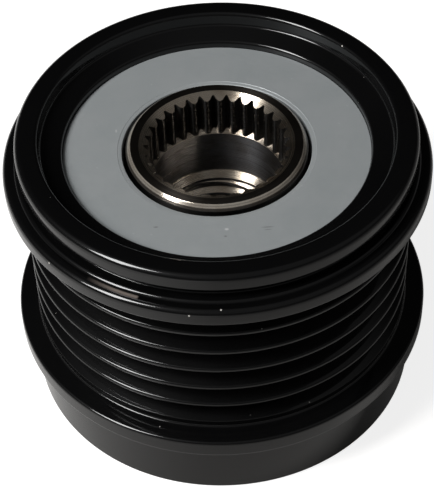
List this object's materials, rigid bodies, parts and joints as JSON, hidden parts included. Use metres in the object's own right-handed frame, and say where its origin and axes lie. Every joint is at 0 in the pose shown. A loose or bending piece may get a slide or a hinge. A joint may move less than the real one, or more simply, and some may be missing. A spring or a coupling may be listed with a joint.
{
  "type": "alternator pulley",
  "caption": "Ribbed belt pulley with a one-way clutch, ball bearings, a grey front cover and a toothed, threaded steel hub.",
  "frame": {"origin": "centre of the pulley's rear edge, on the axis", "axes": "+Z along the axis towards the front cover and the toothed socket; X and Y are equal"},
  "size_m": [0.0575, 0.0574, 0.0418],
  "materials": {
    "black_paint": "gloss",
    "zinc_plate": "satin",
    "hub_steel": "turned",
    "bearing_steel": "polished",
    "clutch_steel": "ground",
    "spring_steel": "satin",
    "seal_case": "satin",
    "cage_plastic": "matte",
    "seal_rubber": "matte"
  },
  "bodies": {
    "hub_set": {"hub": "hub_steel", "rear_bearing_inner_ring": "bearing_steel", "front_bearing_inner_ring": "bearing_steel", "clutch_cam_ring": "clutch_steel", "clutch_cage": "cage_plastic", "clutch_rear_washer": "clutch_steel", "clutch_front_washer": "clutch_steel", "clutch_springs": "spring_steel"},
    "pulley_set": {"pulley": "black_paint", "front_cover_plate": "zinc_plate", "rear_seal_case": "seal_case", "rear_seal_lip": "seal_rubber", "rear_bearing_outer_ring": "bearing_steel", "front_bearing_outer_ring": "bearing_steel", "rear_bearing_rear_seal": "seal_rubber", "rear_bearing_front_seal": "seal_rubber", "front_bearing_rear_seal": "seal_rubber", "front_bearing_front_seal": "seal_rubber", "clutch_outer_sleeve": "clutch_steel"},
    "rear_ball_set": {"rear_bearing_balls": "bearing_steel", "rear_bearing_cage": "cage_plastic"},
    "front_ball_set": {"front_bearing_balls": "bearing_steel", "front_bearing_cage": "cage_plastic"},
    "roller_set": {"clutch_rollers": "bearing_steel"}
  },
  "joints": [
    {"name": "pulley_spin", "type": "hinge", "parent": "hub_set", "child": "pulley_set", "pos_m": [0, 0, 0.0218], "axis": [0, 0, 1], "continuous": true},
    {"name": "rear_balls_spin", "type": "hinge", "parent": "hub_set", "child": "rear_ball_set", "pos_m": [0, 0, 0.012], "axis": [0, 0, 1], "continuous": true},
    {"name": "front_balls_spin", "type": "hinge", "parent": "hub_set", "child": "front_ball_set", "pos_m": [0, 0, 0.0325], "axis": [0, 0, 1], "continuous": true},
    {"name": "roller_release", "type": "hinge", "parent": "hub_set", "child": "roller_set", "pos_m": [0, 0, 0.02225], "axis": [0, 0, 1], "range_deg": [0, 2.5], "stiffness_Nm_per_rad": 0.1, "springref_deg": -28.65, "deforming": ["clutch_springs"]}
  ],
  "couplings": [
    {"joint": "rear_balls_spin", "follows": "pulley_spin", "ratio": 0.57437},
    {"joint": "front_balls_spin", "follows": "pulley_spin", "ratio": 0.57437}
  ]
}
